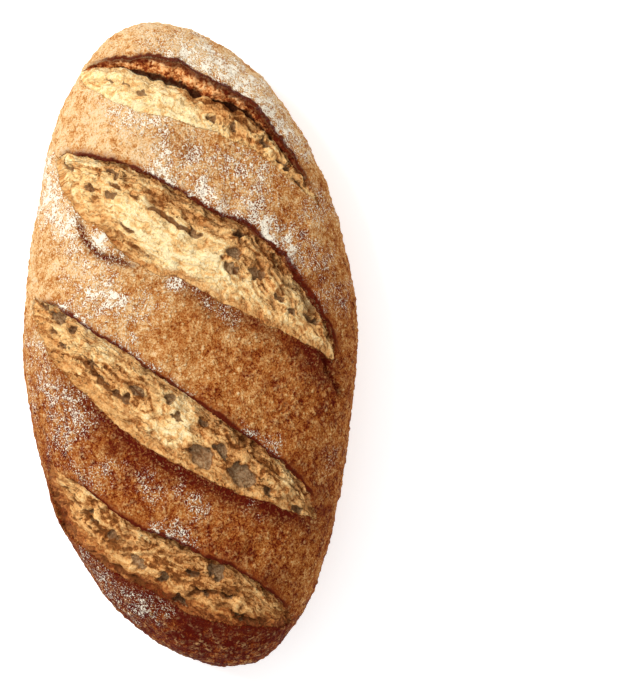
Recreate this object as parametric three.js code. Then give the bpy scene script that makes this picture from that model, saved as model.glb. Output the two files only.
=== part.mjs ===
// A long hearth-baked sourdough loaf with four slanting scores, as one closed solid.
// Millimetres. X runs along the loaf, Y across it, Z is up from the surface it rests on.
import * as THREE from 'three';

// Overall size of the baked loaf, ears not counted.
const LENGTH = 320;
const WIDTH = 165;
const HEIGHT = 80;

// The widest line round the loaf sits this high above its base.
const WAIST_HEIGHT = 29;

// The underside would bulge this far below the base if the oven stone had not flattened it.
const FLATTENED_DEPTH = 10;

// Roundness of the loaf: 2 is an ellipse, more is boxier, less is more pointed.
const END_ROUNDNESS = 1.8;
const SIDE_ROUNDNESS = 1.97;
const DOME_ROUNDNESS = 2.15;
const UNDERSIDE_ROUNDNESS = 2.6;

// The loaf curls a little in plan, like a shallow S.
const CURL_SLOPE = -7.4;
const CURL_BEND = 14.8;

// Each score opened as a lens: a lifted ear on one side, its torn face falling to a hollow
// beside it, and the hollow running up again to the far rim.
const EAR_RISE = 6.5;
const EAR_REACH = 15;
const EAR_FACE_WIDTH = 8;
const SCORE_DEPTH = 9;
const RIM_RISE = 2;
const RIM_REACH = 9;

// The blade's path for each score, as shares of half the length and half the width, so the
// scores stay on the crust whatever the loaf measures, and the widest opening.
const SCORES = [
  { path: [[-0.88, -0.48], [-0.91, -0.13], [-0.87, 0.13], [-0.71, 0.49], [-0.42, 0.83]], opening: 31 },
  { path: [[-0.62, -0.72], [-0.58, -0.37], [-0.43, 0.13], [-0.28, 0.54], [0.06, 0.82]], opening: 36 },
  { path: [[-0.19, -0.90], [-0.09, -0.61], [0.11, -0.13], [0.31, 0.35], [0.56, 0.66]], opening: 33 },
  { path: [[0.32, -0.88], [0.46, -0.61], [0.58, -0.27], [0.69, 0.11], [0.88, 0.46]], opening: 29 },
];
const LENS_SHAPE = 0.6;
const PATH_STEPS = 60;

// Mesh fineness: stations along the loaf and points over and under each section.
const STATIONS = 76;
const POINTS_OVER = 38;
const POINTS_UNDER = 18;

const CRUST_COLOUR = 0xb5713a;

function signedPower(value, exponent) {
  return Math.sign(value) * Math.abs(value) ** exponent;
}

function smoothStep(low, high, value) {
  return THREE.MathUtils.smoothstep(value, low, high);
}

// Half width of the loaf at a share u of its half length.
function halfWidth(u) {
  return (WIDTH / 2) * (1 - Math.abs(u) ** END_ROUNDNESS) ** (1 / SIDE_ROUNDNESS);
}

// Sideways place of the loaf's middle line at u.
function middleLine(u) {
  return CURL_SLOPE * u + CURL_BEND * u ** 3;
}

// How much of the full height, above and below the waist, is left at u.
function endTaper(u) {
  return Math.sqrt(1 - Math.abs(u) ** UNDERSIDE_ROUNDNESS);
}

// The paths in millimetres, each with evenly spaced samples and their open-side normals.
function laidOutScore({ path, opening }) {
  const points = path.map(([along, across]) => new THREE.Vector2(along * LENGTH / 2, across * WIDTH / 2));
  const curve = new THREE.SplineCurve(points);
  const samples = [];
  for (let step = 0; step <= PATH_STEPS; step += 1) {
    const share = step / PATH_STEPS;
    const tangent = curve.getTangentAt(share);
    samples.push({
      share,
      point: curve.getPointAt(share),
      openSide: new THREE.Vector2(tangent.y, -tangent.x),
    });
  }
  return { samples, opening };
}

const laidOutScores = SCORES.map(laidOutScore);

// How far one score moves the crust out (positive) or in at a place in plan.
function scoreRelief({ samples, opening }, place) {
  let nearest = samples[0];
  for (const sample of samples) {
    if (place.distanceToSquared(sample.point) < place.distanceToSquared(nearest.point)) {
      nearest = sample;
    }
  }
  const lens = (4 * nearest.share * (1 - nearest.share)) ** LENS_SHAPE;
  const gap = place.distanceTo(nearest.point);
  const side = Math.sign(place.clone().sub(nearest.point).dot(nearest.openSide));
  const width = opening * lens;
  if (lens === 0) return 0;
  if (side < 0) return EAR_RISE * lens * Math.exp(-gap / EAR_REACH);
  if (gap > width) return RIM_RISE * lens * Math.exp((width - gap) / RIM_REACH);
  const across = gap / width;
  const hollow = -SCORE_DEPTH * lens * (1 - across) + RIM_RISE * lens * across;
  const fallen = smoothStep(0, Math.min(EAR_FACE_WIDTH, width), gap);
  return THREE.MathUtils.lerp(EAR_RISE * lens, hollow, fallen);
}

function crustRelief(place) {
  return laidOutScores.reduce((sum, score) => sum + scoreRelief(score, place), 0);
}

// A point over the waist: on the dome, moved square to it by the scores.
function overPoint(u, angle) {
  const across = -signedPower(Math.cos(angle), 2 / DOME_ROUNDNESS);
  const up = Math.sin(angle) ** (2 / DOME_ROUNDNESS);
  const rise = (HEIGHT - WAIST_HEIGHT) * endTaper(u);
  const point = new THREE.Vector3(
    u * LENGTH / 2,
    middleLine(u) + across * halfWidth(u),
    WAIST_HEIGHT + rise * up,
  );
  const outward = new THREE.Vector3(
    u / LENGTH,
    across * halfWidth(u) / WIDTH ** 2 * 2,
    rise * up / HEIGHT ** 2,
  ).normalize();
  const relief = crustRelief(new THREE.Vector2(point.x, point.y)) * smoothStep(0, 0.5, up);
  return point.addScaledVector(outward, relief);
}

// A point under the waist: rounded in to the flat base.
function underPoint(u, angle) {
  const across = signedPower(Math.cos(angle), 2 / UNDERSIDE_ROUNDNESS);
  const down = Math.sin(angle) ** (2 / UNDERSIDE_ROUNDNESS);
  const drop = (WAIST_HEIGHT + FLATTENED_DEPTH) * endTaper(u) * down;
  return new THREE.Vector3(
    u * LENGTH / 2,
    middleLine(u) + across * halfWidth(u),
    Math.max(0, WAIST_HEIGHT - drop),
  );
}

// One closed section: over the dome from -Y to +Y, then back under the loaf.
function section(u) {
  const ring = [];
  for (let index = 0; index < POINTS_OVER; index += 1) {
    ring.push(overPoint(u, Math.PI * index / POINTS_OVER));
  }
  for (let index = 0; index < POINTS_UNDER; index += 1) {
    ring.push(underPoint(u, Math.PI * index / POINTS_UNDER));
  }
  return ring;
}

// Stations lie closer together towards the rounded ends.
function stationPlace(index) {
  const share = 2 * index / STATIONS - 1;
  return (share + Math.sin(share * Math.PI / 2)) / 2;
}

function loafGeometry() {
  const vertices = [new THREE.Vector3(-LENGTH / 2, middleLine(-1), WAIST_HEIGHT)];
  for (let index = 1; index < STATIONS; index += 1) {
    vertices.push(...section(stationPlace(index)));
  }
  vertices.push(new THREE.Vector3(LENGTH / 2, middleLine(1), WAIST_HEIGHT));

  const around = POINTS_OVER + POINTS_UNDER;
  const last = vertices.length - 1;
  const faces = [];
  for (let point = 0; point < around; point += 1) {
    const next = (point + 1) % around;
    faces.push(0, 1 + point, 1 + next);
    for (let ring = 0; ring < STATIONS - 2; ring += 1) {
      const here = 1 + ring * around;
      const beyond = here + around;
      faces.push(here + point, beyond + point, here + next);
      faces.push(here + next, beyond + point, beyond + next);
    }
    faces.push(last, last - around + next, last - around + point);
  }

  const geometry = new THREE.BufferGeometry().setFromPoints(vertices);
  geometry.setIndex(faces);
  geometry.computeVertexNormals();
  return geometry;
}

// Centres the loaf over the origin, with its base on Z = 0.
function standOnOrigin(geometry) {
  geometry.computeBoundingBox();
  const middle = geometry.boundingBox.getCenter(new THREE.Vector3());
  return geometry.translate(-middle.x, -middle.y, -geometry.boundingBox.min.z);
}

const crust = new THREE.MeshStandardMaterial({ color: CRUST_COLOUR, roughness: 0.75, metalness: 0 });
const loaf = new THREE.Mesh(standOnOrigin(loafGeometry()), crust);
loaf.name = 'loaf';

const sourdough = new THREE.Group();
sourdough.add(loaf);

export default sourdough;
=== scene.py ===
import math

import bpy
import numpy as np
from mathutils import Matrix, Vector, kdtree, noise


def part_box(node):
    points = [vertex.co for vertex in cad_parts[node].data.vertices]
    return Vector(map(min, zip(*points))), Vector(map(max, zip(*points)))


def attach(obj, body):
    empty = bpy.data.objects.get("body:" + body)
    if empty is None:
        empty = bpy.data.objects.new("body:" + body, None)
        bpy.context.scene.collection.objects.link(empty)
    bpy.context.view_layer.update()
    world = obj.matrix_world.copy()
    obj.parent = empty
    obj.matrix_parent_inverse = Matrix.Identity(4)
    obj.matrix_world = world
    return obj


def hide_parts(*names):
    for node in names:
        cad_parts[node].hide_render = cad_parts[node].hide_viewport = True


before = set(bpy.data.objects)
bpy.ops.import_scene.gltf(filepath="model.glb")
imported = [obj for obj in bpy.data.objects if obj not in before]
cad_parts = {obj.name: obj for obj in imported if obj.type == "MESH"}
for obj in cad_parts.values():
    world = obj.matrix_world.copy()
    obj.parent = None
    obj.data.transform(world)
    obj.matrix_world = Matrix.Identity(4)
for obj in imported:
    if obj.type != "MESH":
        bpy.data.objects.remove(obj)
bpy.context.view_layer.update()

# ---------------------------------------------------------------------------------------
# The shaped dough: one long oval piece of sourdough, proved in a basket and baked on a
# stone. It springs to a dome, keeps a slight S curl from shaping, and its underside is
# pressed flat. It starts as a sphere with its poles at the two ends of the loaf.
# ---------------------------------------------------------------------------------------
MM = 0.001
LOAF_LOW, LOAF_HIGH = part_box("loaf")
HALF_LENGTH = (LOAF_HIGH.x - LOAF_LOW.x) / 2 / MM
HALF_WIDTH = 82.0
DOME_HEIGHT = 79.0
WAIST_HEIGHT = 29.0
FLATTENED_DEPTH = 10.0
END_ROUNDNESS = 1.8
SIDE_ROUNDNESS = 1.97
DOME_ROUNDNESS = 2.15
UNDERSIDE_ROUNDNESS = 2.6
CURL_SLOPE = -7.4
CURL_BEND = 14.8
DOUGH_SEGMENTS = 140
DOUGH_RINGS = 100

bpy.ops.object.select_all(action="DESELECT")
bpy.ops.mesh.primitive_uv_sphere_add(segments=DOUGH_SEGMENTS, ring_count=DOUGH_RINGS, radius=1)
loaf = bpy.context.object
loaf.name = "crusty_loaf"
loaf.rotation_euler = (0, math.pi / 2, 0)
bpy.ops.object.transform_apply(location=True, rotation=True, scale=True)


def apply(obj, kind, **settings):
    modifier = obj.modifiers.new(kind.lower(), kind)
    for key, value in settings.items():
        setattr(modifier, key, value)
    bpy.ops.object.modifier_apply(modifier=modifier.name)


apply(loaf, "SUBSURF", subdivision_type="SIMPLE", levels=2, render_levels=2)


def places(mesh):
    """The mesh's points as rows of x, y, z."""
    flat = np.empty(len(mesh.vertices) * 3)
    mesh.vertices.foreach_get("co", flat)
    return flat.reshape(-1, 3)


def set_places(mesh, points):
    mesh.vertices.foreach_set("co", points.ravel())
    mesh.update()


def outward(mesh):
    """The mesh's point normals."""
    flat = np.empty(len(mesh.vertices) * 3, np.float32)
    mesh.vertex_normals.foreach_get("vector", flat)
    return flat.reshape(-1, 3).astype(float)


def rough(points, size, seed):
    """Smooth random relief, about -1 to 1, with bumps of the given size."""
    moved = points / size + seed * 17.31
    return np.array([noise.noise(p) for p in moved.tolist()]) * 1.6


def step(low, high, value):
    share = np.clip((value - low) / (high - low), 0, 1)
    return share * share * (3 - 2 * share)


def shape_dough(unit):
    """Sphere points to loaf points, in millimetres."""
    u = np.clip(unit[:, 0], -1, 1)
    angle = np.arctan2(unit[:, 2], unit[:, 1])
    half_width = HALF_WIDTH * (1 - np.abs(u) ** END_ROUNDNESS) ** (1 / SIDE_ROUNDNESS)
    taper = np.sqrt(1 - np.abs(u) ** UNDERSIDE_ROUNDNESS)
    over = np.sin(angle) >= 0
    bend = np.where(over, 2 / DOME_ROUNDNESS, 2 / UNDERSIDE_ROUNDNESS)
    across = np.sign(np.cos(angle)) * np.abs(np.cos(angle)) ** bend
    up = np.abs(np.sin(angle)) ** bend
    rise = (DOME_HEIGHT - WAIST_HEIGHT) * taper * up
    drop = (WAIST_HEIGHT + FLATTENED_DEPTH) * taper * up
    height = np.where(over, WAIST_HEIGHT + rise, np.maximum(0, WAIST_HEIGHT - drop))
    middle = CURL_SLOPE * u + CURL_BEND * u ** 3
    return np.column_stack([u * HALF_LENGTH, middle + across * half_width, height])


dough = shape_dough(places(loaf.data))
set_places(loaf.data, dough)

# ---------------------------------------------------------------------------------------
# The four scores: slanting cuts of a blade held low. In the oven each opened as a lens.
# Its far lip lifted as an ear with a torn face under it, the near side stayed low as a
# rim, and the soft crumb swelled up between them.
# ---------------------------------------------------------------------------------------
# lip and rim: the two edges of each opening in plan, from one tip to the other, in mm.
# ear, undercut and depth: rows of share of the way along the lip, and height or reach in mm.
# The burnt row: share of the way along the rim, and how dark the crust beside it is painted, darker bake
# with painted shade.
# The last number of each score sets how strongly painted shade darkens the crumb under its lip.
SCORES = [
    dict(
        lip=[(-139, -41), (-141, -34), (-142, -26), (-141.5, -14), (-139.5, -2), (-135.5, 8),
             (-129, 17.5), (-122, 28), (-111, 39.5), (-99, 48.5), (-86, 56.5), (-71, 65),
             (-62, 70)],
        rim=[(-139, -41), (-133, -40), (-128, -34), (-121, -24), (-114, -8), (-110, 5), (-105, 16),
             (-100, 27), (-92, 40), (-84, 49), (-76, 57), (-62, 70)],
        ear=[(0, 0.5), (0.1, 3), (0.35, 5), (0.6, 6), (0.8, 4), (1, 0)],
        undercut=[(0, 0), (0.12, 0), (0.24, -6), (0.42, -6.5), (0.52, -1), (0.6, 3.5), (0.8, 4.5), (1, 0)],
        depth=[(0, 1), (0.15, 3.5), (0.5, 6), (0.7, 4.5), (0.85, 2.5), (1, 0)],
        burnt_and_shade=[(0, 0), (1, 0)],
        bulge=2.0, face_share=0.24, rim_step=0.3, painted_shade=1.0,
    ),
    dict(
        lip=[(-97, -57), (-99, -52), (-98, -46), (-94.5, -35), (-90.5, -24), (-85.5, -14), (-79, -4),
             (-72, 6), (-66, 14), (-60.5, 22), (-57.5, 29), (-51.5, 37), (-46, 42), (-39, 47.5),
             (-30, 53), (-20, 59), (-10, 64), (-2, 68), (6, 70), (14, 70.5)],
        rim=[(-97, -57), (-90, -57), (-83, -55.5), (-76, -52), (-70, -48), (-65, -43.5),
             (-61, -38.5), (-55, -34), (-50, -30), (-45, -25), (-40, -19), (-36, -12), (-35, -5),
             (-32, 1), (-27, 7), (-21, 16), (-16, 25), (-10, 34), (-5, 42), (1, 51), (5, 58),
             (9, 64), (14, 70.5)],
        ear=[(0, 0.5), (0.1, 3), (0.3, 5.5), (0.65, 7), (0.88, 5), (1, 0)],
        undercut=[(0, 0), (0.2, 0.5), (0.5, 1.5), (0.8, 2), (1, 0)],
        depth=[(0, 0.5), (0.15, 2.5), (0.5, 3.5), (0.85, 4), (1, 0.5)],
        burnt_and_shade=[(0, 0), (0.45, 0.1), (0.55, 0.7), (0.7, 0.75), (0.85, 0.6), (0.93, 1.2), (1, 1.2)],
        bulge=3.0, face_share=0.07, rim_step=1.2, painted_shade=0.55,
    ),
    dict(
        lip=[(-31, -73), (-29, -70), (-25, -63), (-19, -55), (-12, -46.5), (-5, -38), (2, -29),
             (9, -21), (16, -12.5), (24, -3), (32, 7), (40, 16), (48, 25), (56, 34), (64, 42),
             (71, 48), (79, 52), (91, 55)],
        rim=[(-31, -73), (-22, -74.5), (-10, -70.5), (0, -67), (6, -63.5), (13, -58.5), (20, -52),
             (27, -45.5), (34, -39.5), (41, -32), (48, -24), (54, -16), (60, -6), (65, 2), (70, 10),
             (74, 18), (78, 26), (82, 35), (86, 43), (91, 55)],
        ear=[(0, 0.5), (0.15, 4), (0.5, 6.5), (0.8, 5.5), (1, 0)],
        undercut=[(0, 0), (0.2, 1), (0.5, 1.5), (0.8, 1.5), (1, 0)],
        depth=[(0, 1), (0.15, 3.5), (0.5, 4.5), (0.85, 4), (1, 0.5)],
        burnt_and_shade=[(0, 0), (0.2, 0.2), (0.35, 1), (0.5, 1.3), (0.92, 1.2), (1, 0.5)],
        bulge=1.8, face_share=0.07, rim_step=1.5, painted_shade=0.55,
    ),
    dict(
        lip=[(50, -73), (55, -70), (60, -62.5), (66, -55), (72, -49), (78.5, -41.5), (85, -32),
             (90, -22), (95, -13), (100, -5), (105, 5), (110, 13), (115.5, 20), (122.5, 27), (129, 32),
             (135, 37), (141, 38)],
        rim=[(50, -73), (60, -74), (72, -71.5), (82, -69), (90, -64.5), (97, -58), (104, -51),
             (110, -43), (116, -33), (121, -25), (127, -17), (131, -12), (134, -4), (137, 4),
             (139.5, 12), (141, 22), (142, 31), (141, 38)],
        ear=[(0, 0), (0.1, 0.8), (0.25, 4), (0.6, 6), (0.85, 4.5), (1, 0)],
        undercut=[(0, 0), (0.3, 1), (0.6, 1.5), (1, 0)],
        depth=[(0, 0), (0.12, 1), (0.25, 4), (0.6, 5), (0.85, 3.5), (1, 0)],
        burnt_and_shade=[(0, 0.2), (0.3, 0.5), (0.5, 0.8), (0.8, 0.9), (1, 0.5)],
        bulge=1.5, face_share=0.07, rim_step=1.2, painted_shade=0.55,
    ),
]
EAR_REACH = 15.0
RIM_REACH = 5.0
BURNT_REACH = 7.5
SHADE_REACH = 0.9
FACE_WIDEST = 9.0
EAR_UNEVENNESS = 0.22
CRUMB_DIP = 2.3
SCORES_FROM = 20.0
OPENING_FADE = (22.0, 30.0)
SEARCH_MARGIN = 45.0
PATH_SPACING = 0.5
FAR = 30.0


def along(points):
    """A smooth curve through given points, in even short steps."""
    knots = np.array(points, float)
    padded = np.vstack([2 * knots[0] - knots[1], knots, 2 * knots[-1] - knots[-2]])
    t = np.linspace(0, 1, 16, endpoint=False)[:, None]
    pieces = []
    for a, b, c, d in zip(padded, padded[1:], padded[2:], padded[3:]):
        cubic = (3 * b - a - 3 * c + d) * t ** 3
        pieces.append((2 * b + (c - a) * t + (2 * a - 5 * b + 4 * c - d) * t ** 2 + cubic) / 2)
    curve = np.vstack(pieces + [knots[-1:]])
    run = np.append(0, np.cumsum(np.hypot(*np.diff(curve, axis=0).T)))
    even = np.linspace(0, run[-1], int(run[-1] / PATH_SPACING))
    return np.column_stack([np.interp(even, run, curve[:, 0]), np.interp(even, run, curve[:, 1])])


def beside(plan, path):
    """For each place: share of the way along the path, distance, side and the path's right."""
    tree = kdtree.KDTree(len(path))
    for number, (x, y) in enumerate(path.tolist()):
        tree.insert((x, y, 0), number)
    tree.balance()
    index = np.array([tree.find((x, y, 0))[1] for x, y in plan.tolist()])
    tangent = np.gradient(path, axis=0)
    tangent /= np.hypot(*tangent.T)[:, None]
    right = np.column_stack([tangent[:, 1], -tangent[:, 0]])[index]
    offset = plan - path[index]
    side = (offset * right).sum(1)
    return index / (len(path) - 1), np.hypot(*offset.T), side, right


def inside(plan, outline):
    """True for places within a closed outline."""
    result = np.zeros(len(plan), bool)
    x, y = plan.T
    for (ax, ay), (bx, by) in zip(outline, np.roll(outline, -1, axis=0)):
        if ay != by:
            crosses = (ay > y) != (by > y)
            result ^= crosses & (x < ax + (bx - ax) * (y - ay) / (by - ay))
    return result


def row(values, share):
    return np.interp(share, *zip(*values))


def open_scores(points, normals):
    """Moves the dough's points as the scores opened, and says what each point became."""
    moved = points.copy()
    plan = points[:, :2].copy()
    wander = np.column_stack([points[:, 0], points[:, 1], np.zeros(len(points))])
    for axis, seed in ((0, 1), (1, 2)):
        plan[:, axis] += 0.7 * rough(wander, 7.0, seed) + 0.35 * rough(wander, 2.4, seed + 4)
    count = len(points)
    facts = dict(crumb=np.zeros(count), face=np.zeros(count), run=np.zeros(count),
                 away=np.zeros(count), across=np.zeros(count), edge=np.full(count, -FAR),
                 lip=np.full(count, FAR), rim=np.full(count, FAR), which=np.zeros(count),
                 ear=np.zeros(count), deep=np.zeros(count), burnt_and_shade=np.zeros(count))
    for number, score in enumerate(SCORES, 1):
        lip, rim = along(score["lip"]), along(score["rim"])
        outline = np.vstack([lip, rim[::-1]])
        low = outline.min(0) - SEARCH_MARGIN
        high = outline.max(0) + SEARCH_MARGIN
        in_reach = ((plan > low) & (plan < high)).all(1)
        near = np.flatnonzero(in_reach & (points[:, 2] > SCORES_FROM))
        share, to_lip, side, right = beside(plan[near], lip)
        rim_share, to_rim, _, _ = beside(plan[near], rim)
        above_waist = step(*OPENING_FADE, points[near, 2])
        opened = inside(plan[near], outline) & (above_waist > 0.5)
        ear = row(score["ear"], share) * (1 + EAR_UNEVENNESS * rough(wander[near], 9.0, 5))
        undercut = row(score["undercut"], share)
        depth = row(score["depth"], share)
        width = to_lip + to_rim
        face_end = np.minimum(width * score["face_share"], FACE_WIDEST)
        face = opened & (to_lip < face_end)
        crumb = opened & ~face
        ear_side = ~opened & (side < 0)
        rim_side = ~opened & (side >= 0)

        lift = np.zeros(len(near))
        slide = np.zeros(len(near))
        lift[ear_side] = (ear * np.exp(-to_lip / EAR_REACH))[ear_side]
        ends = np.minimum(1, 8 * rim_share * (1 - rim_share))
        lift[rim_side] = (score["rim_step"] * ends * np.exp(-to_rim / RIM_REACH))[rim_side]
        down = to_lip / np.maximum(face_end, 0.1)
        lift[face] = (ear - (ear + depth) * down)[face]
        slide[face] = (-undercut * down - to_lip)[face]
        over = np.clip((to_lip - face_end) / np.maximum(width - face_end, 0.1), 0, 1)
        swell = score["bulge"] * np.sin(np.pi * over ** 0.85) * np.minimum(1, depth / 3)
        lift[crumb] = (swell - depth * (1 - over) ** CRUMB_DIP)[crumb]
        slide[crumb] = (-undercut + (width + undercut) * over - to_lip)[crumb]

        flat = np.column_stack([right, np.zeros(len(near))])
        level = flat - normals[near] * (flat * normals[near]).sum(1)[:, None]
        pull = normals[near] * lift[:, None] + level * slide[:, None]
        moved[near] += pull * above_waist[:, None]
        facts["crumb"][near[crumb]] = 1
        facts["face"][near[face]] = 1
        edge = np.where(opened, 1, -1) * np.minimum(to_lip, to_rim)
        nearer = edge > facts["edge"][near]
        away = np.where(ear_side, -to_lip, to_lip) - face_end
        for name, value in (("edge", edge), ("run", share * len(lip) * PATH_SPACING),
                            ("away", away), ("across", over), ("which", number + 0 * over)):
            facts[name][near[nearer]] = value[nearer]
        lip_gap = np.where(ear_side | opened, to_lip, FAR)
        lip_gap = np.where((share > 0.01) & (share < 0.99), lip_gap, FAR)
        closer = lip_gap < facts["lip"][near]
        facts["ear"][near[closer]] = ear[closer]
        facts["lip"][near] = np.minimum(facts["lip"][near], lip_gap)
        rim_gap = np.where(rim_side | opened, to_rim, FAR)
        facts["rim"][near] = np.minimum(facts["rim"][near], rim_gap)
        # Beside the rim the crust is painted darker: partly darker bake, partly painted shade.
        burnt_and_shade = row(score["burnt_and_shade"], rim_share) * rim_side * np.exp(-(to_rim / BURNT_REACH) ** 2)
        facts["burnt_and_shade"][near] = np.maximum(facts["burnt_and_shade"][near], burnt_and_shade)
        # Painted shade: the foot of each torn face and the crumb just past the lip are darkened, deepest
        # under the ears.
        painted_shade = score["painted_shade"] * np.minimum(1, depth / 3)
        facts["deep"][near[face]] = (painted_shade * down ** 3)[face]
        past = (to_lip - face_end)[crumb]
        facts["deep"][near[crumb]] = painted_shade[crumb] * np.exp(-(past / SHADE_REACH) ** 2)
    return moved, facts


dough, facts = open_scores(dough, outward(loaf.data))
set_places(loaf.data, dough)

# ---------------------------------------------------------------------------------------
# The skin: the opened dough is given an even fine skin, so that ears, torn faces and crumb
# can all carry detail. What each point is (crust, ear face, crumb) is carried over from
# the nearest points of the dough.
# ---------------------------------------------------------------------------------------
SKIN_GRAIN = 0.65


def carry(source, target, values, count=4, soften=0.15):
    """Blends each value of the source's nearest points onto the target's points."""
    tree = kdtree.KDTree(len(source))
    for index, place in enumerate(source.tolist()):
        tree.insert(place, index)
    tree.balance()
    found = [tree.find_n(place, count) for place in target.tolist()]
    index = np.array([[hit[1] for hit in hits] for hits in found])
    weight = 1 / (np.array([[hit[2] for hit in hits] for hits in found]) + soften)
    weight /= weight.sum(1)[:, None]
    return {name: (value[index] * weight).sum(1) for name, value in values.items()}


apply(loaf, "REMESH", mode="VOXEL", voxel_size=SKIN_GRAIN)
apply(loaf, "SMOOTH", factor=0.5, iterations=2)
skin = places(loaf.data)
facts = carry(dough, skin, facts)

# ---------------------------------------------------------------------------------------
# The torn crumb: strands pulled out along the tear, bubbles of many sizes whose walls
# show, and a few big open cells and slits.
# ---------------------------------------------------------------------------------------
# Open cells and slits: x, y, half length along the tear, half width, depth, in mm.
OPEN_CELLS = [
    (-93, -52, 4.5, 1.3, 3.5), (-82, -42, 2.6, 2.0, 2.5), (-52, 30, 2.6, 2.0, 3.5),
    (-43, 27, 3.8, 3.2, 2.6), (-36, 24, 3.6, 3.0, 2.4), (-32, 37, 4.5, 2.0, 2.6),
    (-8, 62, 4.0, 1.6, 3.0), (-77, -32, 3.0, 1.8, 1.8), (-55, 8, 4.0, 1.2, 2.0),
    (-88, -30, 4.0, 1.0, 1.6), (-12, 52, 3.5, 1.4, 1.8), (-20, 46, 3.0, 1.2, 1.8),
    (-25, -69, 2.6, 1.8, 3.0), (-20, -63, 3.6, 3.4, 3.2), (-13, -67, 2.2, 1.6, 3.0),
    (-13, -56, 2.8, 2.0, 3.0), (-5, -62, 2.8, 1.8, 2.4), (4, -49, 5.0, 1.2, 2.6),
    (13, -44, 5.0, 1.1, 2.8), (21, -37, 3.0, 1.2, 2.4), (20, -27, 4.0, 2.6, 2.6),
    (23, -33, 3.0, 2.2, 2.4), (25, -11, 3.0, 2.4, 2.2), (34, -8, 4.0, 1.5, 1.8),
    (38, 4, 2.5, 1.2, 2.0), (55, 2, 7.0, 5.0, 3.4), (53, 12, 4.0, 3.0, 3.2),
    (66, 21, 8.0, 5.5, 4.0), (75, 32, 3.0, 1.8, 3.2), (85, 46, 3.0, 1.4, 2.4),
    (66, -65, 4.5, 1.0, 2.6), (77, -56, 2.6, 1.6, 2.6), (82, -54, 2.4, 1.2, 2.6),
    (90, -46, 3.0, 2.0, 2.0), (104, -34, 4.5, 2.6, 2.4), (113, -23, 3.0, 2.6, 3.4),
    (125, -15, 3.6, 2.2, 4.0), (112, -8, 4.0, 2.2, 2.4), (121, -5, 4.5, 0.9, 2.6),
    (124, 8, 3.2, 0.9, 2.4), (135, 13, 4.5, 0.9, 2.6), (112, 4, 5.0, 3.6, 2.2),
    (-134, -27, 2.6, 1.0, 1.4), (-131, -20, 2.8, 0.9, 1.6), (-126, -12, 2.6, 1.4, 1.4),
    (-110, 21, 3.0, 1.4, 1.8), (-104, 32, 2.6, 1.2, 1.8), (-96, 47, 4.0, 1.2, 2.4),
    (-84, 55, 5.0, 1.4, 3.0), (-74, 61, 5.0, 1.0, 2.6),
]
# How pale the crumb baked, 0 brown to 1 cream: x, y, radius in mm, and the value there.
CREAM = [
    (-135, -33, 5, 0.82), (-128, -24, 6, 0.92), (-124, -6, 7, 0.86), (-114, 5, 7, 0.97),
    (-107, 14, 6, 0.90), (-123, 6, 3, 0.35), (-120, 17, 4, 0.22), (-113, 27, 5, 0.26), (-106, 36, 5, 0.36),
    (-102, 23, 5, 0.80), (-97, 40, 6, 0.66), (-88, 49, 6, 0.60), (-78, 57, 6, 0.50),
    (-94, -51, 5, 0.80), (-86, -48, 5, 0.82), (-80, -42, 4, 0.55), (-72, -44, 6, 0.86),
    (-86, -28, 4, 0.62), (-78, -20, 5, 0.60), (-70, -28, 6, 0.95), (-60, -15, 7, 0.92),
    (-50, -5, 8, 0.98), (-40, 5, 7, 0.97), (-46, 15, 5, 0.82), (-68, -2, 5, 0.42), (-61, 8, 5, 0.42),
    (-53, 22, 5, 0.48), (-44, 34, 5, 0.48), (-30, 16, 6, 0.92), (-28, 30, 6, 0.80),
    (-19, 40, 6, 0.66), (-12, 50, 5, 0.72), (-4, 57, 5, 0.86), (-36, 43, 5, 0.40), (2, 62, 5, 0.55),
    (-60, -37, 5, 0.55), (-52, -27, 5, 0.58), (-21, -68, 6, 0.56), (-9, -62, 6, 0.62),
    (0, -56, 6, 0.70), (-3, -66, 4, 0.48), (8, -46, 6, 0.62), (14, -54, 5, 0.50), (20, -32, 7, 0.52),
    (24, -46, 6, 0.52), (33, -26, 6, 0.56), (36, -11, 6, 0.82), (43, -16, 6, 0.90),
    (34, -37, 5, 0.50), (46, -4, 5, 0.82), (42, 8, 5, 0.52), (55, 5, 7, 0.46), (50, -18, 4, 0.52),
    (58, -6, 4, 0.45), (64, 22, 8, 0.34), (58, 24, 5, 0.48), (74, 30, 5, 0.52), (80, 42, 6, 0.64),
    (60, -71, 5, 0.48), (67, -63, 5, 0.58), (74, -67, 5, 0.40), (82, -58, 6, 0.56),
    (90, -52, 6, 0.42), (96, -42, 6, 0.46), (95, -58, 4, 0.30), (102, -32, 6, 0.60),
    (108, -22, 6, 0.46), (116, -14, 6, 0.32), (110, -2, 7, 0.34), (120, 6, 6, 0.30),
    (127, -6, 6, 0.36), (131, 4, 5, 0.18), (122, 18, 6, 0.38), (130, 24, 6, 0.50), (137, 30, 5, 0.45),
    (125, -11, 4, 0.05), (80, -64, 5, 0.45), (-47, -27, 4, 0.62), (-41, -17, 4, 0.66),
]
TEAR_SLANT = math.radians(49)
TEAR_STRETCH = 1.8
STRAND_STRETCH = 0.3
STRAND_SIZE = 1.9
WIDE_STRAND_SIZE = 3.8
LUMP_SIZE = 6.5
CRUMB_SIZE = 1.9
BUBBLE_SIZE = 5.4
MIDDLE_BUBBLE_SIZE = 3.3
SMALL_BUBBLE_SIZE = 2.1
LAYER_SIZE = 6.0
WIDE_CELL = 2.4
CELL_DEEPENING = 1.3
PIT_RADIUS = 0.46


def painted(points, spots, background=0.5, floor=0.002, soften=1.0):
    """Blends spots of value into each other, and into the background away from them."""
    total = np.full(len(points), floor)
    value = np.full(len(points), floor) * background
    for x, y, radius, level in spots:
        gap = (points[:, 0] - x) ** 2 + (points[:, 1] - y) ** 2
        weight = np.exp(-gap / (2 * (soften * radius) ** 2))
        total += weight
        value += weight * level
    return value / total


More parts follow.
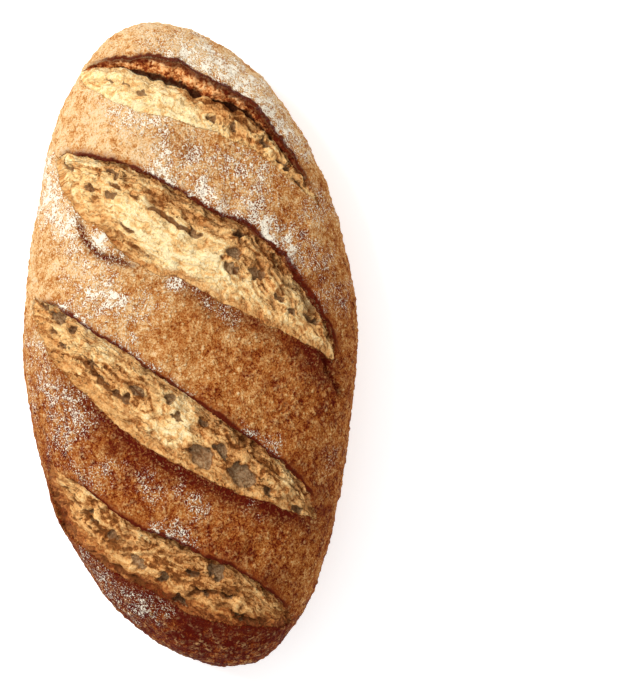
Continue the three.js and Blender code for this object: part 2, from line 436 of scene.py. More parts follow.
def pits(points, size, seed, share):
    """Round hollows with crisp edges, 1 inside, at a share of the cells of a random lattice."""
    deep = np.zeros(len(points))
    moved = (points / size + seed * 9.7).tolist()
    for index, place in enumerate(moved):
        gaps, centres = noise.voronoi(place)
        if noise.cell(centres[0] * 3.1) < share:
            deep[index] = max(0.0, 1 - (gaps[0] / PIT_RADIUS) ** 2)
    return step(0.0, 0.55, deep)


def cells(points, x, y, half_long, half_wide):
    """How deep inside one open cell each place is, 0 to 1."""
    dx, dy = points[:, 0] - x, points[:, 1] - y
    long_way = dx * math.cos(TEAR_SLANT) + dy * math.sin(TEAR_SLANT)
    wide_way = dy * math.cos(TEAR_SLANT) - dx * math.sin(TEAR_SLANT)
    away = (long_way / half_long) ** 2 + (wide_way / half_wide) ** 2
    return step(0, 0.55, 1.15 - away)


wander = skin.copy()
for axis in (0, 1):
    wander[:, axis] += 3.0 * rough(skin, 14, 31 + axis) + 1.0 * rough(skin, 4, 33 + axis)
cream = painted(wander, CREAM)
torn = facts["crumb"] + facts["face"] > 0.02
crumb_points = skin[torn]
crumb = facts["crumb"][torn]
face = facts["face"][torn]
run = facts["run"][torn]
across = facts["across"][torn]
past_face = facts["away"][torn]
tear = np.column_stack([run / TEAR_STRETCH, past_face, 20.0 * facts["which"][torn]])
tear[:, 1] += 1.8 * rough(tear, 6.0, 10)
tear[:, 0] += 1.2 * rough(tear, 5.0, 9)
long_tear = tear * (STRAND_STRETCH, 1, 1)
strand = rough(long_tear, STRAND_SIZE, 11)
wide_strand = rough(long_tear, WIDE_STRAND_SIZE, 12)
lumps = rough(crumb_points, LUMP_SIZE, 13)
crumbs = rough(crumb_points, CRUMB_SIZE, 14)
near_lip = 1 - step(0.15, 0.55, across)
spongy = step(-0.35, 0.25, rough(crumb_points, 10.0, 19))
bubbles = pits(tear, BUBBLE_SIZE, 15, 0.35) * spongy
middle_bubbles = pits(tear, MIDDLE_BUBBLE_SIZE, 16, 0.40) * spongy
small_bubbles = pits(tear, SMALL_BUBBLE_SIZE, 18, 0.35)
layer = 1.6 * rough(tear * (0.5, 1, 1), LAYER_SIZE, 17) + 0.2 * crumbs
ledge = np.mod(layer, 1.0)
flakes = np.floor(layer) + step(0.72, 1.0, ledge)
ledge_shadow = step(0.66, 0.80, ledge) * (1 - step(0.90, 1.0, ledge))
ragged_x = rough(crumb_points, 3.0, 26)
ragged_y = rough(crumb_points, 3.0, 27)
ragged = 1.5 * np.column_stack([ragged_x, ragged_y, crumbs])
opened_cells = np.zeros(len(crumb_points))
cell_hollow_shade = np.zeros(len(crumb_points))
cell_depth = np.zeros(len(crumb_points))
for x, y, half_long, half_wide, depth in OPEN_CELLS:
    hollow = cells(crumb_points + ragged, x, y, half_long, half_wide)
    opened_cells = np.maximum(opened_cells, hollow)
    cell_hollow_shade = np.maximum(cell_hollow_shade, hollow * (1.0 if half_wide < WIDE_CELL else 0.25))
    cell_depth = np.maximum(cell_depth, hollow * depth)
calm = 1 - 0.8 * opened_cells
edge_calm = step(0.0, 0.06, across) * step(0, 2.0, facts["rim"][torn])
coarse = 1 - 0.6 * step(0.62, 0.9, cream[torn])
ridges = 1 - 2 * np.abs(strand)
strands = (0.4 + 0.6 * near_lip) * (0.8 * ridges + 0.8 * wide_strand)
torn_flakes = 0.8 * (1 - 0.6 * near_lip) * (flakes - layer + 0.35 * layer)
hollows = 1.2 * bubbles + 0.8 * middle_bubbles + 0.3 * small_bubbles
crumb_relief = 1.1 * lumps + 0.25 * crumbs + coarse * (strands + torn_flakes - hollows)
crumb_relief *= calm * (0.35 + 0.65 * edge_calm)
crumb_relief -= CELL_DEEPENING * cell_depth
face_relief = 0.6 * lumps + 0.6 * crumbs + 0.35 * ridges
face_relief -= 0.9 * middle_bubbles
face_relief -= 0.5 * small_bubbles

relief = np.zeros(len(skin))
relief[torn] = crumb * crumb_relief + face * face_relief

# Creases where the dough folded or split beside a score, and one swollen ridge of crumb:
# course in mm, half width, depth (negative stands up) and how much painted shade darkens the groove.
CREASES = [
    ([(-72, -51), (-61, -47.5), (-52, -43.5), (-46, -36), (-43, -28), (-37, -19)], 2.2, 0.8, 1.1),
    ([(-62, -34), (-54, -26), (-46, -17), (-41, -10)], 1.2, 1.0, 0.6),
    ([(8, 63), (14, 67.5), (19, 67), (25, 70.5), (34, 72)], 1.3, 3.0, 1.3),
    ([(-122, -2), (-121.5, 9), (-118, 19), (-112, 27), (-105, 35), (-98, 42)], 2.2, -1.3, 0.0),
    ([(-85, -34), (-80, -28), (-76, -22), (-73, -15)], 0.8, 1.6, 0.9),
    ([(-69, -18), (-68, -11), (-62, -3), (-57, 3), (-51, 9)], 1.0, 2.0, 1.1),
    ([(-64, -29), (-60, -26), (-57, -20)], 1.0, 1.6, 0.9),
    ([(-84, -12), (-77, -3), (-70, 5), (-63, 12)], 0.6, 1.0, 0.7),
    ([(-47, 14), (-40, 22), (-34, 27), (-26, 33)], 0.8, 1.4, 0.7),
    ([(-2, -57), (8, -49), (14, -45), (20, -39), (24, -33)], 1.0, 1.8, 1.1),
    ([(2, -48), (12, -36), (20, -27), (28, -20)], 0.7, 1.2, 0.7),
    ([(42, -14), (50, -6), (57, 4), (62, 12)], 0.6, 1.2, 0.6),
    ([(66, -66), (74, -61), (82, -55), (90, -47)], 0.8, 1.6, 0.9),
    ([(124, -14), (121, -6), (122.5, 3), (127, 12)], 0.9, 2.2, 1.0),
    ([(133, -4), (135, 8), (138, 20), (139, 28)], 0.7, 1.2, 1.0),
    ([(96, -56), (104, -47), (112, -37), (119, -26)], 0.9, 1.0, 0.8),
]
CREASE_MARGIN = 8.0
crease_shade = np.zeros(len(skin))
for course, half_width, depth, hollow_shade in CREASES:
    path = along(course)
    in_reach = (skin[:, :2] > path.min(0) - CREASE_MARGIN) & (skin[:, :2] < path.max(0) + CREASE_MARGIN)
    near = np.flatnonzero(in_reach.all(1) & (skin[:, 2] > WAIST_HEIGHT))
    share, gap, _, _ = beside(skin[near, :2], path)
    gap = gap + 0.9 * rough(skin[near], 3.0, 18)
    groove = np.exp(-(gap / half_width) ** 2) * np.minimum(1, 6 * share * (1 - share))
    relief[near] -= depth * groove
    crease_shade[near] = np.maximum(crease_shade[near], hollow_shade * groove * (depth > 0))

# ---------------------------------------------------------------------------------------
# The crust: a thin hard shell, smooth where it was stretched and covered with fine
# blisters of 1 to 2 mm, over soft swells left by shaping.
# ---------------------------------------------------------------------------------------
SWELL_SIZE = 34.0
SWELL_HEIGHT = 0.9
RIPPLE_SIZE = 13.0
RIPPLE_HEIGHT = 0.45
BLISTER_SIZE = 3.4
BLISTER_HEIGHT = 0.34
FINE_BLISTER_SIZE = 1.5
FINE_BLISTER_HEIGHT = 0.20
GOOSE_SKIN_SIZE = 3.6
GOOSE_SKIN_HEIGHT = 0.32
STRETCHED_REACH = 5.0

crust = 1 - np.clip(facts["crumb"] + facts["face"], 0, 1)
above = step(0.5, 6, skin[:, 2])
swells = SWELL_HEIGHT * rough(skin, SWELL_SIZE, 21) + RIPPLE_HEIGHT * rough(skin, RIPPLE_SIZE, 22)
blister = pits(skin, BLISTER_SIZE, 23, 0.5)
fine_blister = rough(skin, FINE_BLISTER_SIZE, 24)
goose_skin = rough(skin, GOOSE_SKIN_SIZE, 25)
stretched = np.exp(-facts["rim"] / STRETCHED_REACH)
crust_relief = BLISTER_HEIGHT * blister + FINE_BLISTER_HEIGHT * fine_blister
crust_relief += GOOSE_SKIN_HEIGHT * goose_skin
relief += crust * above * (swells + crust_relief * (1 - 0.6 * stretched))
skin = skin + outward(loaf.data) * relief[:, None]
skin[:, 2] = np.maximum(skin[:, 2], 0)
set_places(loaf.data, skin)

# ---------------------------------------------------------------------------------------
# The bake and the flour: the crust runs from pale gold at one end to dark red-brown at the
# other. Flour from the proving basket stayed in patches and along the lips.
# ---------------------------------------------------------------------------------------
# How dark the crust baked, 0 pale gold to 1 red-brown: x, y, radius in mm, and the value there.
BAKE = [
    (-150, -5, 14, 0.10), (-138, 30, 14, 0.16), (-140, -38, 10, 0.14), (-108, -28, 14, 0.08),
    (-112, -48, 12, 0.16), (-98, 6, 8, 0.36), (-88, -8, 10, 0.16), (-80, 30, 14, 0.34),
    (-60, 52, 12, 0.44), (-100, 66, 10, 0.22), (-70, 74, 10, 0.32), (-100, -62, 12, 0.12),
    (-62, -68, 12, 0.14), (-30, -78, 10, 0.26), (-55, -47, 8, 0.32), (-46, -27, 5, 0.30),
    (-32, -42, 12, 0.22), (-14, -45, 12, 0.28), (-12, -20, 12, 0.32), (2, 2, 12, 0.38),
    (-18, 8, 7, 0.50), (5, 32, 14, 0.50), (-5, 60, 10, 0.58), (30, 60, 12, 0.64),
    (-10, 77, 8, 0.56), (30, 30, 12, 0.54), (10, -77, 8, 0.52), (30, -66, 10, 0.58),
    (45, -68, 10, 0.62), (46, -42, 8, 0.74), (55, -52, 10, 0.60), (62, -35, 10, 0.60),
    (75, -15, 12, 0.58), (92, -8, 10, 0.62), (95, 22, 12, 0.66), (62, 64, 12, 0.64),
    (98, 46, 10, 0.62), (120, 44, 8, 0.56), (95, -64, 8, 0.70), (118, -46, 10, 0.84),
    (142, -8, 12, 0.96), (152, 8, 10, 0.98), (146, 26, 8, 0.84), (134, -30, 10, 0.86),
]
# Places that caught more heat: x, y, radius in mm, and how nearly black.
SCORCH = [
    (35, -49, 5, 0.5), (45, -39, 6, 0.7), (54, -26, 6, 0.6), (62, -12, 5, 0.5), (77, 14, 4, 0.5),
    (-47, -30, 3, 0.5), (-22, 6, 4, 0.6), (-17, 13, 5, 0.7), (-11, 24, 5, 0.6),
    (-6, 34, 4, 0.6), (0, 45, 5, 0.5), (6, 53, 5, 0.8), (14, 60, 6, 1.0), (20, 63, 6, 0.9),
    (-98, 8, 5, 0.4), (-100, -2, 5, 0.3),
    (104, -54, 5, 0.6), (114, -42, 5, 0.8), (124, -28, 6, 0.8), (133, -16, 6, 0.7),
    (138, 24, 6, 0.5), (100, 12, 5, 0.5), (118, 30, 5, 0.5), (88, 58, 5, 0.4), (78, 58, 4, 0.4),
]
# Where the flour stayed: x, y, radius in mm, and how thickly.
FLOUR = [
    (-145, 14, 8, 0.8), (-150, 0, 10, 0.3), (-139, 20, 6, 1.0), (-131, 30, 6, 1.1),
    (-122, 39, 6, 1.1), (-112, 48, 6, 1.0), (-102, 56, 6, 0.9), (-90, 63, 6, 0.6),
    (-140, 34, 8, 0.45), (-114, -14, 7, 0.6), (-120, -26, 5, 0.5), (-106, -4, 5, 0.7),
    (-86, -5, 6, 1.2), (-80, -10, 5, 1.0), (-92, 12, 8, 0.5), (-84, 34, 8, 0.6), (-74, 14, 6, 0.75),
    (-69, 22, 5, 0.75), (-78, 45, 7, 0.55), (-63, 38, 6, 0.8), (-54, 45, 5, 1.0), (-44, 52, 5, 0.8),
    (-58, 32, 4, 0.8), (-38, 62, 8, 0.35), (-20, 70, 8, 0.25), (-60, 68, 8, 0.3),
    (-82, -61, 7, 0.9), (-72, -60, 6, 0.9), (-64, -56, 6, 0.8), (-92, -62, 6, 0.8),
    (-54, -52, 6, 0.5), (-55, -38, 5, 1.1), (-48, -34, 5, 0.8), (-30, -42, 8, 0.8),
    (-26, -36, 6, 1.1), (-38, -50, 8, 0.45), (-20, -20, 7, 0.35), (-38, -7, 4, 1.1),
    (-34, -3, 4, 0.8), (-24, 4, 3, 0.8), (-18, 14, 3, 0.7), (-16, 22, 4, 0.5),
    (-12, -50, 5, 0.6), (-20, -56, 5, 0.7), (-3, -34, 5, 0.6), (8, -24, 5, 0.4), (20, -8, 5, 0.3),
    (48, 28, 4, 0.5), (54, 36, 4, 0.4), (14, -72, 7, 0.5), (22, -60, 5, 0.6), (30, -58, 6, 0.55),
    (36, -68, 8, 0.4), (60, -47, 7, 0.28), (66, -26, 6, 0.30), (58, -58, 7, 0.22), (72, -12, 6, 0.25),
    (78, -4, 5, 0.45), (93, -17, 4, 1.1), (88, -25, 3, 0.7), (98, -9, 3, 0.5), (84, 0, 5, 0.3),
    (84, 24, 4, 0.2), (-6, -76, 7, 0.4), (60, 66, 8, 0.15),
    (102, -60, 5, 0.4), (110, -54, 6, 0.42), (120, -42, 5, 0.5), (127, -33, 5, 0.5),
    (132, -24, 4, 0.3), (-90, -48, 5, 0.2),
]
EDGE_REACH = 12.0
SKIN_FACES = 190000


def dusted(points, spots):
    """The strongest of the spots at each place."""
    value = np.zeros(len(points))
    for x, y, radius, level in spots:
        gap = (points[:, 0] - x) ** 2 + (points[:, 1] - y) ** 2
        value = np.maximum(value, level * np.exp(-gap / (2 * radius ** 2)))
    return value


under = 1 - step(6, 26, skin[:, 2])
side = 1 - step(28, 56, skin[:, 2])
bake = painted(wander, BAKE, soften=1.3) * (1 - side)
bake += painted(wander, BAKE, soften=2.6) * side
bake = bake * (1 - under) + (0.42 + 0.2 * skin[:, 0] / HALF_LENGTH) * under
bake += 0.07 * rough(skin, 9, 35) + 0.05 * rough(skin, 3.2, 36)
settled = step(14, 46, skin[:, 2] + 14 * rough(skin, 11, 40))
# Scorched spots, the painted-darker bands beside the rims and the painted shade in the creases, in one
# darkening.
scorch_and_shade = np.maximum(dusted(wander, SCORCH) * crust, facts["burnt_and_shade"]) * settled
scorch_and_shade = np.maximum(scorch_and_shade, crease_shade)
blown = wander.copy()
for axis in (0, 1):
    blown[:, axis] += (4.0 + 7.0 * side) * rough(skin, 8, 38 + axis)
flour = dusted(blown, FLOUR) * crust * settled
# Raised blister tops are paler, partly their own bake and partly painted highlight.
pale_tip_and_highlight = crust * (0.5 * blister + 0.35 * np.clip(goose_skin, 0, 1))
looks = dict(bake=bake, scorch_and_shade=scorch_and_shade, flour=flour, cream=cream, crevice_shade=facts["deep"], pale_tip_and_highlight=pale_tip_and_highlight)
for name in ("lip", "rim"):
    looks[name] = np.minimum(facts[name], EDGE_REACH)
for name in ("ear", "edge", "run", "away", "which"):
    looks[name] = facts[name]
# Painted shade for the crumb: darker in bubbles, open cells, narrow slits and under ledges; its height
# paints high crumb lighter and low crumb darker.
bubble_shade = coarse * np.maximum(bubbles, np.maximum(middle_bubbles, 0.5 * small_bubbles))
torn_looks = dict(cell=opened_cells, hollow_shade=cell_hollow_shade, bubble_shade=bubble_shade, ledge_shadow=ledge_shadow * calm, high=crumb_relief)
for name, value in torn_looks.items():
    looks[name] = np.zeros(len(skin))
    looks[name][torn] = value

# Plain stretches give up most of their faces, and the crumb keeps almost all of its own.
thinning = loaf.vertex_groups.new(name="thinning")
plain = (skin[:, 2] < 12) & (crust > 0.5)
busy = crust < 0.5
thinning.add(np.flatnonzero(plain).tolist(), 1.0, "REPLACE")
thinning.add(np.flatnonzero(~plain & ~busy).tolist(), 0.45, "REPLACE")
thinning.add(np.flatnonzero(busy).tolist(), 0.1, "REPLACE")
apply(loaf, "DECIMATE", ratio=min(1.0, SKIN_FACES / (2 * len(loaf.data.polygons))),
      vertex_group="thinning", vertex_group_factor=1.0)
loaf.vertex_groups.clear()
final = places(loaf.data)
looks = carry(skin, final, looks, count=3)
for name, value in looks.items():
    attribute = loaf.data.attributes.new(name, "FLOAT", "POINT")
    attribute.data.foreach_set("value", value.astype(np.float32))
set_places(loaf.data, final * MM)
bpy.ops.object.shade_smooth()

# ---------------------------------------------------------------------------------------
# The crust and crumb finish: matt baked crust, gold to red-brown with lighter blister tips
# partly from painted highlight, white flour grains, and cream crumb that browns on its strands
# and torn edges, with painted shade in its hollows and under the ears.
# ---------------------------------------------------------------------------------------
finish = bpy.data.materials.new("baked_crust_and_crumb")
finish.use_nodes = True
nodes, links = finish.node_tree.nodes, finish.node_tree.links
shader = nodes["Principled BSDF"]
place = nodes.new("ShaderNodeTexCoord")


def read(name):
    node = nodes.new("ShaderNodeAttribute")
    node.attribute_name = name
    return node.outputs["Fac"]


def math_node(operation, first, second=0.0):
    node = nodes.new("ShaderNodeMath")
    node.operation = operation
    for socket, value in zip(node.inputs, (first, second)):
        if isinstance(value, (int, float)):
            socket.default_value = value
        else:
            links.new(value, socket)
    return node.outputs[0]


def spread(value, low, high, to_low=0.0, to_high=1.0):
    node = nodes.new("ShaderNodeMapRange")
    node.interpolation_type = "SMOOTHSTEP"
    links.new(value, node.inputs["Value"])
    limits = {"From Min": low, "From Max": high, "To Min": to_low, "To Max": to_high}
    for name, number in limits.items():
        node.inputs[name].default_value = number
    return node.outputs["Result"]


def ramp(value, stops):
    node = nodes.new("ShaderNodeValToRGB")
    elements = node.color_ramp.elements
    while len(elements) < len(stops):
        elements.new(0.5)
    for element, (position, colour) in zip(elements, stops):
        element.position = position
        element.color = (*colour, 1)
    links.new(value, node.inputs["Fac"])
    return node.outputs["Color"]


def mixed(share, under_colour, over_colour):
    node = nodes.new("ShaderNodeMix")
    node.data_type = "RGBA"
    node.clamp_factor = True
    for name, value in (("Factor_Float", share), ("A_Color", under_colour), ("B_Color", over_colour)):
        socket = next(item for item in node.inputs if item.identifier == name)
        if isinstance(value, tuple):
            socket.default_value = (*value, 1)
        elif isinstance(value, (int, float)):
            socket.default_value = value
        else:
            links.new(value, socket)
    return next(item for item in node.outputs if item.identifier == "Result_Color")


def grain(size, detail=3.0, roughness=0.6, where=None, distortion=0.0):
    """Noise with features of about the given size in millimetres, 0 to 1."""
    node = nodes.new("ShaderNodeTexNoise")
    node.inputs["Scale"].default_value = 1 / size if where else 1 / (size * MM)
    node.inputs["Detail"].default_value = detail
    node.inputs["Roughness"].default_value = roughness
    node.inputs["Distortion"].default_value = distortion
    links.new(where or place.outputs["Object"], node.inputs["Vector"])
    return node.outputs["Fac"]


def centred(value, amount):
    """Noise about its middle, times an amount."""
    return math_node("MULTIPLY", math_node("SUBTRACT", value, 0.5), amount)


speck = grain(1.3, detail=3, roughness=0.55)
drift_noise = grain(6.0, detail=2)


def tear_place(pull, drift=5.0):
    """A place in the torn crumb: millimetres along the tear over the pull, and across it."""
    vector = nodes.new("ShaderNodeCombineXYZ")
    links.new(math_node("MULTIPLY", read("run"), 1 / pull), vector.inputs["X"])
    links.new(math_node("ADD", read("away"), centred(drift_noise, drift)), vector.inputs["Y"])
    links.new(math_node("MULTIPLY", read("which"), 20.0), vector.inputs["Z"])
    return vector.outputs["Vector"]


def holes(size, share, where=None, low=0.16, high=0.34):
    """Small round spots, 1 in the middle, in a share of cells of the given size in mm."""
    node = nodes.new("ShaderNodeTexVoronoi")
    node.inputs["Scale"].default_value = 1 / size if where else 1 / (size * MM)
    links.new(where or place.outputs["Object"], node.inputs["Vector"])
    chosen = nodes.new("ShaderNodeSeparateColor")
    links.new(node.outputs["Color"], chosen.inputs["Color"])
    spot = spread(math_node("ADD", node.outputs["Distance"], centred(speck, 0.5)), low, high, 1.0, 0.0)
    return math_node("MULTIPLY", spot, spread(chosen.outputs["Red"], 1 - share, 1.08 - share))


def total(*values):
    result = values[0]
    for value in values[1:]:
        result = math_node("ADD", result, value)
    return result


def times(*values):
    result = values[0]
    for value in values[1:]:
        result = math_node("MULTIPLY", result, value)
    return result


CRUST_STOPS = [
    (0.00, (0.70, 0.50, 0.29)), (0.16, (0.64, 0.38, 0.165)), (0.34, (0.47, 0.21, 0.062)),
    (0.52, (0.35, 0.115, 0.023)), (0.70, (0.23, 0.052, 0.008)), (0.86, (0.125, 0.014, 0.002)),
    (1.00, (0.075, 0.004, 0.001)),
]
CRUMB_STOPS = [
    (0.00, (0.22, 0.068, 0.016)), (0.20, (0.46, 0.180, 0.047)), (0.40, (0.67, 0.325, 0.110)),
    (0.60, (0.80, 0.450, 0.165)), (0.80, (0.86, 0.585, 0.260)), (1.00, (0.92, 0.730, 0.410)),
]
RIM_STOPS = [
    (0.10, (0.15, 0.024, 0.006)), (0.35, (0.37, 0.110, 0.026)), (0.60, (0.58, 0.255, 0.072)),
    (0.85, (0.76, 0.440, 0.170)),
]
FACE_STOPS = [
    (0.25, (0.16, 0.024, 0.006)), (0.42, (0.42, 0.120, 0.028)), (0.55, (0.75, 0.330, 0.110)),
    (0.72, (0.86, 0.500, 0.230)),
]
SCORCH_AND_SHADE_COLOUR = (0.080, 0.006, 0.002)
BLISTER_TIP_HIGHLIGHT = (0.74, 0.46, 0.19)
LIP_BROWN = (0.22, 0.050, 0.010)
FLOUR_DUST = (0.88, 0.80, 0.64)
SPLIT_SHADE_COLOUR = (0.17, 0.060, 0.015)
LAYER_SHADE_COLOUR = (0.20, 0.066, 0.017)
HOLE_SHADE_COLOUR = (0.15, 0.052, 0.014)
CELL_SHADE = (0.27, 0.150, 0.068)
CELL_LIGHT = (0.50, 0.345, 0.190)
CELL_HOLLOW_SHADE_COLOUR = (0.14, 0.050, 0.015)
CELL_RIM_SHADE_COLOUR = (0.15, 0.055, 0.016)
BUBBLE_SHADE_COLOUR = (0.24, 0.100, 0.033)
CREASE_SHADE_COLOUR = (0.15, 0.045, 0.011)
CREVICE_SHADE_COLOUR = (0.030, 0.007, 0.003)

BUMP_HEIGHT = 0.6

mottle = grain(4.0, detail=4, roughness=0.6)
patch = grain(10.0, detail=2)
fine = grain(0.7, detail=2, roughness=0.5)
streak = grain(1.8, detail=5, roughness=0.68, where=tear_place(6.0), distortion=0.3)

# Crust.
# Blister spots lighten the crust as painted highlight and also raise it as bumps; painted glints stand in
# for small specular sparkle.
blisters_and_highlights = holes(2.4, 0.55, low=0.18, high=0.46)
painted_glints = holes(1.2, 0.2, low=0.12, high=0.26)
bake_level = total(read("bake"), centred(mottle, 1.05), centred(patch, 0.6), centred(speck, -0.7),
                   centred(fine, -1.0), times(blisters_and_highlights, -0.24), times(painted_glints, -0.30), 0.045)
crust_colour = ramp(bake_level, CRUST_STOPS)
# Paler blister tops, with painted highlight on them.
tip_highlight_share = times(read("pale_tip_and_highlight"), spread(speck, 0.42, 0.6), 0.7)
crust_colour = mixed(tip_highlight_share, crust_colour, BLISTER_TIP_HIGHLIGHT)
# Scorch, darkened further by the painted shade beside the rims and in the creases.
charred_and_shaded = times(read("scorch_and_shade"), spread(streak, 0.35, 0.6, 1.1, 0.8),
                spread(total(mottle, centred(speck, 1.4), centred(fine, 0.8)), 0.42, 0.72, 1.1, 0.62))
crust_colour = mixed(charred_and_shaded, crust_colour, SCORCH_AND_SHADE_COLOUR)
ear_share = spread(read("ear"), 0.5, 3.0)
lip_gap = math_node("ADD", read("lip"), centred(mottle, 2.5))
lip_glow = times(ear_share, spread(lip_gap, 1.4, 5.0, 0.6, 0.0), spread(read("which"), 1.2, 1.8, 0.35, 1.0))
crust_colour = mixed(lip_glow, crust_colour, LIP_BROWN)
dust = times(read("flour"), spread(mottle, 0.40, 0.60, 0.35, 1.2),
             spread(read("scorch_and_shade"), 0.3, 0.9, 1.0, 0.3))
dust = total(times(dust, 1.05), centred(fine, 3.0), centred(speck, 1.4))
flour_share = times(spread(dust, 0.28, 0.85), spread(read("flour"), 0.02, 0.25), 0.92)
crust_colour = mixed(flour_share, crust_colour, FLOUR_DUST)
# The dark line along each lip: its burnt edge, with painted shadow under it.
lip_burn_and_shadow = times(ear_share, spread(lip_gap, 0.9, 2.0, 0.95, 0.0))
crust_colour = mixed(lip_burn_and_shadow, crust_colour, SCORCH_AND_SHADE_COLOUR)

# Crumb.
thread = grain(1.4, detail=3, roughness=0.6, where=tear_place(4.0), distortion=0.5)
wide = grain(7.0, detail=3, where=tear_place(2.0))
fibre = grain(2.2, detail=2, roughness=0.5, where=tear_place(16.0, drift=2.0))
# Painted shadow lines under the crumb's ledges darken it.
unrest = total(centred(streak, 1.15), centred(wide, 0.4), centred(speck, 0.8), centred(fine, 0.6),
               times(read("ledge_shadow"), -0.45))
unrest = times(unrest, spread(read("cream"), 0.55, 0.9, 1.1, 0.85))
# High crumb is painted lighter and low crumb darker: painted light and shade.
cream_level = total(read("cream"), unrest, times(read("high"), 0.10), 0.02)
crumb_colour = ramp(cream_level, CRUMB_STOPS)
rim_width = total(spread(read("which"), 2.2, 2.8, 4.5, 7.5), spread(read("which"), 3.2, 3.8, 0.0, 3.5))
rim_inner = math_node("DIVIDE", total(read("rim"), centred(mottle, 3.0)), rim_width)
rim_share = times(spread(rim_inner, 0.4, 1.0, 1.0, 0.0), spread(read("which"), 1.2, 1.8), 0.9)
redness = times(spread(read("which"), 3.2, 3.8), spread(read("rim"), 1.0, 8.0, 0.48, 0.0))
rim_level = total(centred(streak, 1.8), centred(speck, 0.7), 0.64, times(redness, -1.0))
rim_colour = ramp(rim_level, RIM_STOPS)
crumb_colour = mixed(rim_share, crumb_colour, rim_colour)
# Painted shade in thin splits between strands of crumb.
split_and_shade = times(spread(math_node("ABSOLUTE", centred(thread, 1.0)), 0.0, 0.030, 1.0, 0.0),
              spread(streak, 0.40, 0.56, 0.85, 0.0), spread(read("cream"), 0.6, 0.95, 1.0, 0.5))
crumb_colour = mixed(split_and_shade, crumb_colour, SPLIT_SHADE_COLOUR)
# Painted shade in the slits between fibres near the lip.
layered_and_shade = times(spread(math_node("ABSOLUTE", centred(fibre, 1.0)), 0.0, 0.035, 0.8, 0.0),
                spread(read("away"), 2.0, 13.0, 1.0, 0.0), spread(read("which"), 1.2, 1.8, 0.3, 1.0),
                spread(mottle, 0.35, 0.55, 0.4, 1.0))
crumb_colour = mixed(layered_and_shade, crumb_colour, LAYER_SHADE_COLOUR)
# Small holes in the crumb, darkened with painted shade.
fine_holes_and_shade = math_node("MAXIMUM", holes(2.4, 0.22, tear_place(1.7)), holes(1.5, 0.38, tear_place(1.5)))
fine_holes_and_shade = times(fine_holes_and_shade, spread(read("cream"), 0.6, 0.9, 1.0, 0.35),
                   spread(wide, 0.38, 0.6, 1.0, 0.3))
crumb_colour = mixed(times(fine_holes_and_shade, 0.85), crumb_colour, HOLE_SHADE_COLOUR)
# Open cells: walls of two random tones, with painted shade deeper in narrow slits and a painted shade line
# round each rim.
cell_colour = mixed(spread(speck, 0.35, 0.65), CELL_SHADE, CELL_LIGHT)
hollow_shade_share = times(read("hollow_shade"), spread(mottle, 0.35, 0.6, 0.35, 0.8))
cell_colour = mixed(hollow_shade_share, cell_colour, CELL_HOLLOW_SHADE_COLOUR)
cell_edge_shade = times(spread(read("cell"), 0.2, 0.45),
                  spread(total(read("cell"), centred(mottle, 1.2)), 0.5, 0.9, 0.55, 0.0))
cell_colour = mixed(cell_edge_shade, cell_colour, CELL_RIM_SHADE_COLOUR)
cell_share = times(spread(total(read("cell"), centred(speck, 1.1)), 0.25, 0.55), 0.85)
crumb_colour = mixed(cell_share, crumb_colour, cell_colour)
# Painted shade inside the bubbles.
crumb_colour = mixed(times(spread(read("bubble_shade"), 0.3, 0.9), 0.3), crumb_colour, BUBBLE_SHADE_COLOUR)
# Painted shade in the creases and slits of the crumb.
crease_shade_share = times(spread(total(read("scorch_and_shade"), centred(speck, 0.9)), 0.2, 0.75), 0.9)
crumb_colour = mixed(crease_shade_share, crumb_colour, CREASE_SHADE_COLOUR)

# The torn face under an ear.
# Holes on the torn face, darkened with painted shade.
face_holes_and_shade = holes(2.2, 0.5, tear_place(1.3))
face_level = total(speck, centred(mottle, 1.2), centred(streak, 0.8), times(face_holes_and_shade, -0.35),
                   spread(read("away"), -6.0, 0.0, 0.06, -0.10))
face_colour = ramp(face_level, FACE_STOPS)
face_colour = mixed(times(lip_burn_and_shadow, 0.9), face_colour, SCORCH_AND_SHADE_COLOUR)

# Where crust, crumb and torn face meet, with ragged edges, and painted shade deep under the ears.
frayed = centred(speck, 1.6)
torn_share = spread(total(read("edge"), frayed), -0.2, 0.2)
face_share = times(torn_share, spread(total(read("away"), frayed), -0.2, 0.2, 1.0, 0.0))
colour = mixed(torn_share, crust_colour, crumb_colour)
colour = mixed(face_share, colour, face_colour)
# Painted shade under the ears, near black.
painted_shade = times(spread(total(read("crevice_shade"), centred(mottle, 0.9)), 0.25, 0.6), 0.95)
colour = mixed(painted_shade, colour, CREVICE_SHADE_COLOUR)
links.new(colour, shader.inputs["Base Color"])

roughness = spread(total(read("bake"), read("flour")), 0.4, 1.0, 0.85, 0.62)
links.new(roughness, shader.inputs["Roughness"])
shader.inputs["Specular IOR Level"].default_value = 0.02
bump = nodes.new("ShaderNodeBump")
bump.inputs["Strength"].default_value = 1.0
bump.inputs["Distance"].default_value = BUMP_HEIGHT * MM
torn_height = total(times(streak, 2.5), times(split_and_shade, -0.8), times(layered_and_shade, -0.9), times(fine_holes_and_shade, -1.6),
                    times(thread, 1.5))
crust_height = total(times(blisters_and_highlights, 0.8), times(flour_share, 0.3))
height = total(fine, times(speck, 2.0), times(torn_height, torn_share),
               times(crust_height, spread(torn_share, 0.0, 1.0, 1.0, 0.0)))
links.new(height, bump.inputs["Height"])
links.new(bump.outputs["Normal"], shader.inputs["Normal"])
loaf.data.materials.clear()
loaf.data.materials.append(finish)

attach(loaf, "root")
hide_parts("loaf")

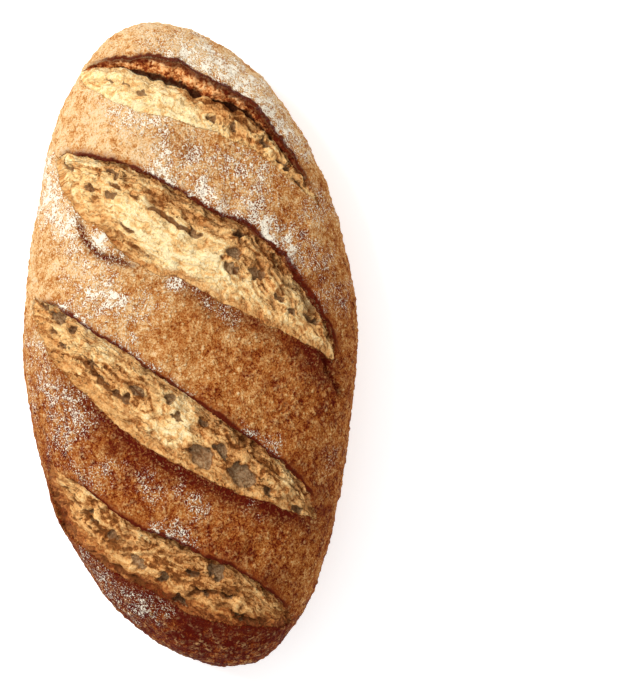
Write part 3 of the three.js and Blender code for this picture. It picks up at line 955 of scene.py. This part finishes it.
# ---------------------------------------------------------------------------------------
# The studio: a plain white table, an even white surround and one soft lamp towards the
# pale end, with the camera looking straight down.
# ---------------------------------------------------------------------------------------
CAMERA_CENTRE = Vector((5.8, 61.8)) * MM
CAMERA_TURN = math.radians(84.92)
FRAME_HEIGHT = 342.8 * MM
LENS = 400.0
SENSOR = 36.0
TABLE_SIZE = 12.0
TABLE_WHITE = (0.93, 0.93, 0.93, 1)
TABLE_GLOW = 0.42
SURROUND_LIGHT = 0.8
LAMP_SIZE = 0.7
LAMP_POWER = 22.0
LAMP_PLACE = (-0.60, -0.80, 1.20)

bpy.ops.mesh.primitive_plane_add(size=TABLE_SIZE)
table = bpy.context.object
table.name = "white_table"
paint = bpy.data.materials.new("white_paint")
paint.use_nodes = True
paint_shader = paint.node_tree.nodes["Principled BSDF"]
paint_shader.inputs["Base Color"].default_value = TABLE_WHITE
paint_shader.inputs["Roughness"].default_value = 0.9
paint_shader.inputs["Emission Color"].default_value = (1, 1, 1, 1)
paint_shader.inputs["Emission Strength"].default_value = TABLE_GLOW
table.data.materials.append(paint)

world = bpy.data.worlds.new("white_surround")
world.use_nodes = True
world.node_tree.nodes["Background"].inputs["Color"].default_value = (1, 1, 1, 1)
world.node_tree.nodes["Background"].inputs["Strength"].default_value = SURROUND_LIGHT
bpy.context.scene.world = world

lamp_data = bpy.data.lights.new("soft_lamp", "AREA")
lamp_data.shape = "DISK"
lamp_data.size = LAMP_SIZE
lamp_data.energy = LAMP_POWER
lamp = bpy.data.objects.new("soft_lamp", lamp_data)
lamp.location = LAMP_PLACE
lamp.rotation_mode = "QUATERNION"
lamp.rotation_quaternion = (-lamp.location).to_track_quat("-Z", "Y")
bpy.context.scene.collection.objects.link(lamp)

camera_data = bpy.data.cameras.new("camera")
camera_data.lens = LENS
camera_data.sensor_width = SENSOR
distance = FRAME_HEIGHT * LENS / SENSOR
camera = bpy.data.objects.new("camera", camera_data)
camera.location = (CAMERA_CENTRE.x, CAMERA_CENTRE.y, distance + WAIST_HEIGHT * MM)
camera.rotation_euler = (0, 0, CAMERA_TURN)
camera_data.clip_end = 20
bpy.context.scene.collection.objects.link(camera)
bpy.context.scene.camera = camera
bpy.context.scene.view_settings.view_transform = "Standard"
